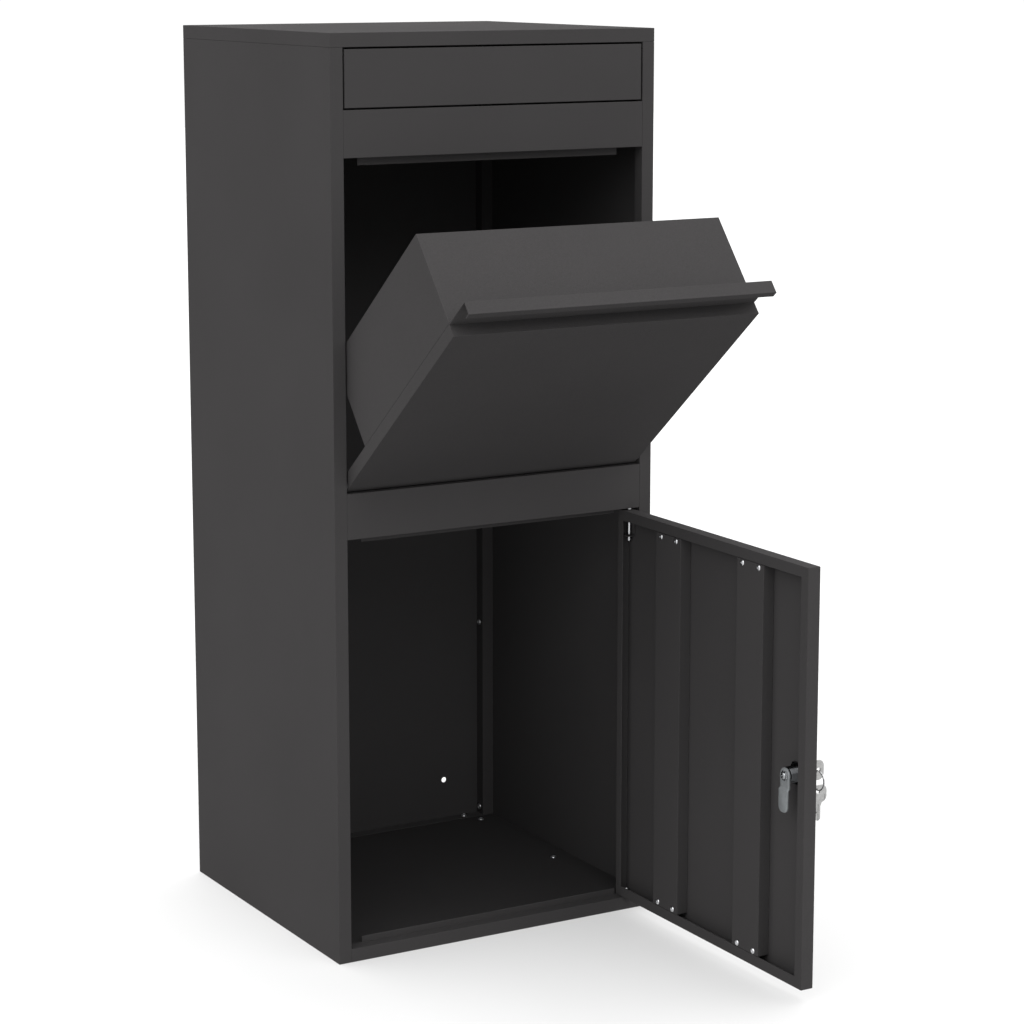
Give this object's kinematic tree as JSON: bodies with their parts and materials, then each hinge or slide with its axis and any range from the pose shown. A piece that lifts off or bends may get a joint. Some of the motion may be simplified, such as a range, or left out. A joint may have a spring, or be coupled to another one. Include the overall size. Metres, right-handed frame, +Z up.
{
  "type": "parcel drop box",
  "caption": "Freestanding or wall-fixed folded steel parcel box with a letter flap, a tilting parcel hopper and a lockable collection door.",
  "frame": {"origin": "middle of the cabinet's front bottom edge, on the ground, in the plane of the front flanges", "axes": "+Z up, +Y from the front to the back, +X to the right as seen from the front"},
  "size_m": [0.415, 0.728, 1.01],
  "materials": {
    "outer_powder_coat": "fine textured powder coat, satin",
    "inner_powder_coat": "fine textured powder coat, matt",
    "zinc": "bright zinc plate",
    "black_steel": "black oxide",
    "nickel": "nickel plate, satin",
    "key_nickel": "nickel plate over brass, lightly worn",
    "ring_steel": "polished spring steel",
    "nylon": "black nylon"
  },
  "bodies": {
    "cabinet": {"left_side_panel": "outer_powder_coat", "right_side_panel": "outer_powder_coat", "back_panel": "inner_powder_coat", "top_cover": "outer_powder_coat", "floor_panel": "inner_powder_coat", "left_floor_rail": "inner_powder_coat", "right_floor_rail": "inner_powder_coat", "front_sill": "outer_powder_coat", "middle_crossbar": "outer_powder_coat", "upper_crossbar": "outer_powder_coat", "seam_screws": "zinc", "floor_screws": "zinc", "back_flange_screws": "zinc", "hopper_pivot_pins": "black_steel", "hopper_pivot_washers": "nylon", "flap_pivot_pins": "black_steel", "lower_hinge_pin": "zinc", "lower_hinge_washer": "nylon"},
    "letter_flap": {"letter_flap": "outer_powder_coat"},
    "hopper": {"hopper_front": "outer_powder_coat", "hopper_hood": "outer_powder_coat"},
    "door": {"door_panel": "outer_powder_coat", "hinge_side_stiffener": "outer_powder_coat", "lock_side_stiffener": "outer_powder_coat", "stiffener_rivets": "zinc", "hinge_bracket": "outer_powder_coat", "lock_housing": "nickel", "lock_nut": "nickel"},
    "upper_hinge_pin": {"upper_hinge_pin": "zinc", "hinge_pin_spring": "zinc", "hinge_pin_clip": "zinc"},
    "lock_plug": {"lock_plug": "nickel", "lock_cam": "nickel", "cam_washer": "zinc", "cam_screw": "zinc"},
    "key": {"inserted_key": "key_nickel"},
    "key_ring": {"key_ring": "ring_steel"},
    "spare_key": {"spare_key": "key_nickel"}
  },
  "joints": [
    {"name": "door_swing", "type": "hinge", "parent": "cabinet", "child": "door", "pos_m": [0.175, 0.005, 0], "axis": [0, 0, 1], "range_deg": [-90, 35]},
    {"name": "hopper_tilt", "type": "hinge", "parent": "cabinet", "child": "hopper", "pos_m": [0, 0.005, 0.532], "axis": [1, 0, 0], "range_deg": [-50.8, 0]},
    {"name": "flap_swing", "type": "hinge", "parent": "cabinet", "child": "letter_flap", "pos_m": [0, 0.003, 0.988], "axis": [1, 0, 0], "range_deg": [0, 65]},
    {"name": "pin_slide", "type": "slide", "parent": "door", "child": "upper_hinge_pin", "axis": [0, 0, 1], "range_m": [-0.005, 0], "stiffness_N_per_m": 300, "springref_m": 0.003, "deforming": ["hinge_pin_spring"]},
    {"name": "lock_turn", "type": "hinge", "parent": "door", "child": "lock_plug", "pos_m": [0.17, -0.323, 0.24375], "axis": [1, 0, 0], "range_deg": [-90, 0]},
    {"name": "key_slide", "type": "slide", "parent": "lock_plug", "child": "key", "axis": [1, 0, 0], "range_m": [0, 0.02]},
    {"name": "ring_swing", "type": "hinge", "parent": "key", "child": "key_ring", "pos_m": [0.204, -0.323, 0.24375], "axis": [0, 1, 0], "range_deg": [-60, 10]},
    {"name": "spare_key_swing", "type": "hinge", "parent": "key_ring", "child": "spare_key", "pos_m": [0.204, -0.323, 0.22035], "axis": [0, 1, 0], "range_deg": [-60, 10]}
  ]
}
